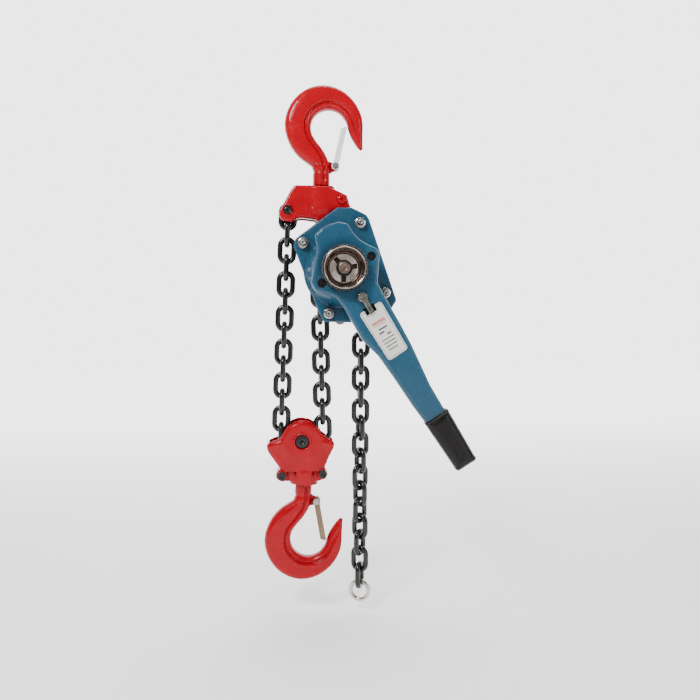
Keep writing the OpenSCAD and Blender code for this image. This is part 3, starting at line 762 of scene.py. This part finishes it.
press = 0.8 * np.exp(-(((rings - 3.2) / 1.2) ** 2))
co[:, 1] += press * on_face * MM
set_points(lever_mesh, co)
lever_mesh = smooth_shaded(remeshed(lever_mesh, 0.9 * MM, 8))
piece("lever_front_pressing", lever_mesh, "blue", "lever_body", ["lever_front"])
rear_mesh = remeshed(prism(LEVER_OUT, rear_low[1], rear_high[1], [rims[0]]), 1.0 * MM, 4)
rolled(rear_mesh, [LEVER_OUT], rear_high[1], 5 * MM, side=1)
piece("lever_rear_pressing", smooth_shaded(rear_mesh), "blue", "lever_body", ["lever_rear"])

grip_low, grip_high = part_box("lever_grip")
grip_out = front_outline("lever_grip", grip_low[1])
grip_mesh = remeshed(prism(grip_out, grip_low[1], grip_high[1]), 1.1 * MM, 4)
rolled(grip_mesh, [grip_out], grip_low[1], 13 * MM)
rolled(grip_mesh, [grip_out], grip_high[1], 13 * MM, side=1)
co = points(grip_mesh)
up = (-(co[:, 0] - HUB.x) * math.sin(LEVER_ANGLE) + (co[:, 2] - HUB.z) * math.cos(LEVER_ANGLE)) / MM
waist = 0.9 * np.clip(np.minimum((-298.5 - up) / 1.5, (up + 391) / 1.5), 0, 1)
normals = np.empty(len(co) * 3)
grip_mesh.vertices.foreach_get("normal", normals)
co -= normals.reshape(-1, 3) * waist[:, None] * MM
set_points(grip_mesh, co)
piece("lever_grip_sleeve", smooth_shaded(grip_mesh), "rubber", "lever_body", ["lever_grip"])

piece("selector_thumb_lever", softened("selector_lever", 0.45 * MM, 6), "bronze",
      body_of_node("selector_lever"), ["selector_lever"])

# ---- hand wheel ----------------------------------------------------------------------
wheel_low, wheel_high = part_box("hand_wheel")
RIM = (wheel_high[0] - wheel_low[0]) / 2
front, back = wheel_low[1], wheel_high[1]
FLUTES = 18


def fluted(a, r, y):
    return r - 0.9 * MM * max(0.0, math.cos(FLUTES * a)) ** 4 * (r > 0.97 * RIM)


tyre = eased([(RIM * 0.93, back - 6 * MM), (RIM, back - 6 * MM), (RIM, front + 2.4 * MM),
              (RIM * 0.975, front + 0.6 * MM), (RIM * 0.93, front + 0.6 * MM)], 1.2 * MM)
piece("hand_wheel_rim", lathe(tyre, HUB.x, HUB.z, 288, fluted), "black", "hand_wheel_body")
cup = eased([(RIM * 0.80, back - 5 * MM), (RIM * 0.94, back - 5 * MM), (RIM * 0.94, front + 1.4 * MM),
             (RIM * 0.91, front + 0.1 * MM), (RIM * 0.87, front + 0.4 * MM), (RIM * 0.83, front + 2.4 * MM),
             (RIM * 0.815, front + 4 * MM), (RIM * 0.80, front + 4.4 * MM)], 1.4 * MM)
piece("hand_wheel_cup", lathe(cup, HUB.x, HUB.z, 192), "chrome", "hand_wheel_body", ["hand_wheel"])
wall = eased([(RIM * 0.655, back), (RIM * 0.755, back), (RIM * 0.755, back - 5 * MM),
              (RIM * 0.82, back - 5 * MM), (RIM * 0.82, front + 4.2 * MM),
              (RIM * 0.79, front + 4.4 * MM), (RIM * 0.73, back - 9 * MM),
              (RIM * 0.69, back - 7.4 * MM), (RIM * 0.655, back - 7 * MM)], 1.0 * MM)
piece("hand_wheel_wall", lathe(wall, HUB.x, HUB.z, 192), "wall", "hand_wheel_body")
lip = [(r, y) for r, y in eased([(RIM * 0.80, front + 3.4 * MM), (RIM * 0.835, front + 2.2 * MM),
                                 (RIM * 0.835, front + 5 * MM), (RIM * 0.80, front + 6 * MM)], 0.5 * MM, 3)]
piece("hand_wheel_lip", lathe(lip, HUB.x, HUB.z, 160), "black", "hand_wheel_body")

disc_low, disc_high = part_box("hand_wheel_disc")
SLOTS = [130, 12, 268]


def slot_outline(angle, r0, r1, width):
    """A square-ended radial slot about the hub."""
    c, s = math.cos(math.radians(angle)), math.sin(math.radians(angle))
    corners = [(r0, -width / 2), (r1, -width / 2), (r1, width / 2), (r0, width / 2)]
    return [(HUB.x + u * c - v * s, HUB.z + u * s + v * c) for u, v in corners]


DISC_R = 23.9 * MM
disc_holes = [ring_points(HUB.x, HUB.z, 11.5 * MM, 48)] + [slot_outline(a, 12 * MM, 23 * MM, 8.6 * MM)
                                                         for a in SLOTS]
disc = prism(ring_points(HUB.x, HUB.z, DISC_R, 96), disc_low[1], disc_high[1], disc_holes)
piece("hand_wheel_floor", disc, "disc", "shaft_body", ["hand_wheel_disc"])
# painted shade: a dark sheet behind the floor's slots, so that they show dark like holes in shadow
backing_y = disc_high[1] - 0.8 * MM
backing = [(10 * MM, disc_high[1]), (10 * MM, backing_y), (DISC_R - 0.1 * MM, backing_y),
           (DISC_R - 0.1 * MM, disc_high[1])]
piece("hand_wheel_slot_shade", lathe(backing, HUB.x, HUB.z, 96), "slot", "shaft_body")

shaft_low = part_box("drive_shaft")[0][1]
nut_low, nut_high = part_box("shaft_nut")
collar = eased([(10.6 * MM, nut_low[1]), (12.9 * MM, nut_low[1]), (13.5 * MM, nut_low[1] + 0.8 * MM),
                (13.5 * MM, nut_high[1]), (10.6 * MM, nut_high[1])], 0.5 * MM, 3)
piece("shaft_collar", lathe(collar, HUB.x, HUB.z, 96), "black", "shaft_body", ["shaft_nut"])
end_rows = [(10.4 * MM, -92 * MM), (10.4 * MM, shaft_low + 1.2 * MM), (9.6 * MM, shaft_low),
            (3.4 * MM, shaft_low),
            (2.6 * MM, shaft_low + 1.4 * MM), (AXIS_R, shaft_low + 2.6 * MM), (AXIS_R, -92 * MM)]
piece("shaft_end", lathe([(r, y - 0.15 * MM) for r, y in end_rows], HUB.x, HUB.z, 96), "shaft", "shaft_body")

# ---- nuts ------------------------------------------------------------------------------
def nut_mesh(x, z, flats, y_seat, y_top, bore):
    """A chamfered hexagon nut along Y; y_top is its outer face."""
    steps, across = 96, flats / 2
    side = 1 if y_top > y_seat else -1
    height = abs(y_top - y_seat)
    corner = across / math.cos(math.pi / 6)
    rows = [(0.0, corner), (height * 0.8, corner), (height * 0.9, corner * 0.965),
            (height * 0.97, across * 1.02), (height, across * 0.93), (height, bore * 1.12),
            (height * 0.93, bore), (0.0, bore)]
    verts, faces = [], []
    for i in range(steps):
        a = 2 * math.pi * i / steps
        hexagon = across / math.cos((a % (math.pi / 3)) - math.pi / 6)
        for h, r in rows:
            k = min(r, hexagon) if r > bore * 1.2 else r
            verts.append((x + k * math.cos(a), y_seat + side * h, z + k * math.sin(a)))
    n = len(rows)
    for i in range(steps):
        for j in range(n):
            faces.append((i * n + j, i * n + (j + 1) % n, ((i + 1) % steps) * n + (j + 1) % n,
                          ((i + 1) % steps) * n + j))
    return solid("nut", verts, faces)


def threaded(x, z, radius, y0, y1, pitch=1.5 * MM):
    """A bolt end along Y with rolled threads and a chamfered tip at y1."""
    side = 1 if y1 > y0 else -1
    turns = int(abs(y1 - y0) / pitch)
    rows = [(AXIS_R, y0)]
    for k in range(turns):
        y = y0 + side * pitch * k
        rows += [(radius, y), (radius, y + side * pitch * 0.25), (radius * 0.91, y + side * pitch * 0.6)]
    rows += [(radius * 0.98, y1 - side * 0.9 * MM), (radius * 0.82, y1), (radius * 0.34, y1),
             (radius * 0.3, y1 - side * 1.2 * MM), (AXIS_R, y1 - side * 1.2 * MM)]
    return lathe(rows, x, z, 48)


COVER_BOLTS = [(-46, 68.5), (60, 68.5), (-46, -61.5), (60, -61.5)]
nuts, studs = [], []
stay_low, stay_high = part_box("stay_bolts")
nut_out, nut_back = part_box("cover_nuts")
for across, up in COVER_BOLTS:
    p = turned_point(BODY_ANGLE, across * MM, up * MM, 0)
    nuts.append(nut_mesh(p.x, p.z, 15.5 * MM, -32 * MM, nut_out[1], 5.1 * MM))
    nuts.append(nut_mesh(p.x, p.z, 15.5 * MM, 27.1 * MM, nut_back[1], 5.1 * MM))
    washer = eased([(5.1 * MM, -30.2 * MM), (9.6 * MM, -30.2 * MM), (9.4 * MM, -32 * MM),
                    (5.1 * MM, -32.2 * MM)], 0.6 * MM, 3)
    nuts.append(lathe(washer, p.x, p.z, 64))
    studs += [threaded(p.x, p.z, 5 * MM, -26.6 * MM, stay_low[1]),
              threaded(p.x, p.z, 5 * MM, 26.6 * MM, stay_high[1])]
    if (across, up) != COVER_BOLTS[2]:
        spacer = [(5 * MM, -20.4 * MM), (7 * MM, -20.4 * MM), (7 * MM, 20.4 * MM), (5 * MM, 20.4 * MM)]
        studs.append(lathe(spacer, p.x, p.z, 48))
piece("cover_nut_set", joined(nuts), "bright", "hoist_body", ["cover_nuts"])
piece("stay_stud_set", joined(studs), "steel", "hoist_body", ["stay_bolts"])

bolt_low, bolt_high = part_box("block_bolts")
ear_bolts = []
for dx, dz in EAR_AT:
    x, z = PIN.x + dx * MM, PIN.z + dz * MM
    ear_bolts += [nut_mesh(x, z, 14 * MM, -22.7 * MM, bolt_low[1], 3.4 * MM),
                  nut_mesh(x, z, 14 * MM, 22.7 * MM, bolt_high[1], 5 * MM),
                  threaded(x, z, 5 * MM, 10 * MM, bolt_high[1] - 0.4 * MM),
                  lathe([(AXIS_R, -26.6 * MM), (4.9 * MM, -26.6 * MM), (4.9 * MM, 10 * MM), (AXIS_R, 10 * MM)],
                        x, z, 48)]
piece("block_bolt_set", joined(ear_bolts), "black", "block_body", ["block_bolts"])

# ---- name plate print: plain rules and bars, no lettering --------------------------------
plate_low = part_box("name_plate")[0]


def print_bar(across, up, width, height):
    y = plate_low[1] - 0.06 * MM
    corners = [turned_point(LEVER_ANGLE, (across + i * width) * MM, (up + j * height) * MM, y)
               for i, j in ((0, 0), (1, 0), (1, 1), (0, 1))]
    mesh = bpy.data.meshes.new("bar")
    back_corners = [c + Vector((0, 0.05 * MM, 0)) for c in corners]
    mesh.from_pydata([tuple(c) for c in corners + back_corners], [],
                     [(0, 1, 2, 3), (7, 6, 5, 4), (0, 4, 5, 1), (1, 5, 6, 2), (2, 6, 7, 3), (3, 7, 4, 0)])
    return mesh


def inset_outline(outline, width):
    """A closed outline moved inwards by a width."""
    p = np.array(outline)
    area = np.sum(p[:, 0] * np.roll(p[:, 1], -1) - np.roll(p[:, 0], -1) * p[:, 1])
    d = np.roll(p, -1, axis=0) - np.roll(p, 1, axis=0)
    n = np.column_stack([-d[:, 1], d[:, 0]]) / np.hypot(*d.T)[:, None] * (1 if area > 0 else -1)
    return [tuple(q) for q in p + n * width]


plate_out = front_outline("name_plate", plate_low[1])
border = prism(inset_outline(plate_out, 1.7 * MM), plate_low[1] - 0.05 * MM, plate_low[1] + 0.1 * MM,
               [inset_outline(plate_out, 2.4 * MM)])
piece("plate_border", border, "print_dark", "lever_body")
warm = [print_bar(-9, -111.4, 24, 1.2)]
piece("plate_rule", joined(warm), "print_warm", "lever_body")
blocks = [print_bar(-9 + 3.1 * i, -108.5, 2.3, 5) for i in range(8)]
piece("plate_blocks", joined(blocks), "print_warm", "lever_body")
rows = []
for i, (start, length) in enumerate([(-4, 16), (-7, 10), (5, 8), (-9, 24), (-8, 22), (-8, 21), (-7, 18)]):
    rows.append(print_bar(start, -120 - 6.2 * i, length, 1.8 if i > 2 else 2.6))
piece("plate_rows", joined(rows), "print_dark", "lever_body")

# ---- studio --------------------------------------------------------------------------------
scene = bpy.context.scene
floor = bpy.data.meshes.new("floor")
size, drop = 6.0, cad_box[0][2] - 0.02
floor.from_pydata([(-size, -size, drop), (size, -size, drop), (size, size, drop), (-size, size, drop)], [],
                  [(0, 1, 2, 3)])
floor_obj = bpy.data.objects.new("studio_floor", floor)
scene.collection.objects.link(floor_obj)
dress(floor_obj, "floor")
# painted light: the floor glows, faintly in front of the object and brighter towards the back
floor_nodes, floor_links = MATS["floor"].node_tree.nodes, MATS["floor"].node_tree.links
place = floor_nodes.new("ShaderNodeSeparateXYZ")
floor_links.new(floor_nodes.new("ShaderNodeNewGeometry").outputs["Position"], place.inputs["Vector"])
floor_glow = floor_nodes.new("ShaderNodeMapRange")
floor_glow.interpolation_type = "SMOOTHSTEP"
for socket, value in (("From Min", -0.5), ("From Max", 3.0), ("To Min", 0.15), ("To Max", 2.6)):
    floor_glow.inputs[socket].default_value = value
floor_links.new(place.outputs["Y"], floor_glow.inputs["Value"])
floor_links.new(floor_glow.outputs["Result"], floor_nodes["Principled BSDF"].inputs["Emission Strength"])
floor_nodes["Principled BSDF"].inputs["Emission Color"].default_value = (1, 1, 1, 1)

world = bpy.data.worlds.new("studio")
scene.world = world
world.use_nodes = True
sky, wires = world.node_tree.nodes, world.node_tree.links
heading = sky.new("ShaderNodeSeparateXYZ")
wires.new(sky.new("ShaderNodeTexCoord").outputs["Generated"], heading.inputs["Vector"])
glow = sky.new("ShaderNodeMapRange")
glow.interpolation_type = "SMOOTHSTEP"
for socket, value in (("From Min", 0.0), ("From Max", 0.8), ("To Min", 0.25), ("To Max", 3.6)):
    glow.inputs[socket].default_value = value
wires.new(heading.outputs["Y"], glow.inputs["Value"])
wires.new(glow.outputs["Result"], sky["Background"].inputs["Strength"])
sky["Background"].inputs["Color"].default_value = (1, 1, 1, 1)


def lamp(name, place, aim, power, width, height):
    light = bpy.data.lights.new(name, "AREA")
    light.shape = "RECTANGLE"
    light.size, light.size_y, light.energy = width, height, power
    obj = bpy.data.objects.new(name, light)
    scene.collection.objects.link(obj)
    obj.location = place
    obj.rotation_euler = (Vector(aim) - Vector(place)).to_track_quat("-Z", "Y").to_euler()


lamp("key", (-0.8, -1.2, 0.75), (0, 0, -0.4), 34, 0.45, 0.45)
lamp("strip", (1.1, -1.1, -0.2), (0, 0, -0.45), 7, 0.2, 1.3)
lamp("top", (0.1, 0.1, 1.2), (0, 0, -0.4), 16, 0.7, 0.7)

camera = bpy.data.cameras.new("camera")
camera.sensor_width = 36
camera.lens = 32.89
eye = Vector((-0.0709, -1.150, -0.3906))
look = Vector((0.0375, 0.0, -0.4268))
camera_obj = bpy.data.objects.new("camera", camera)
scene.collection.objects.link(camera_obj)
camera_obj.location = eye
camera_obj.rotation_euler = (look - eye).to_track_quat("-Z", "Y").to_euler()
scene.camera = camera_obj
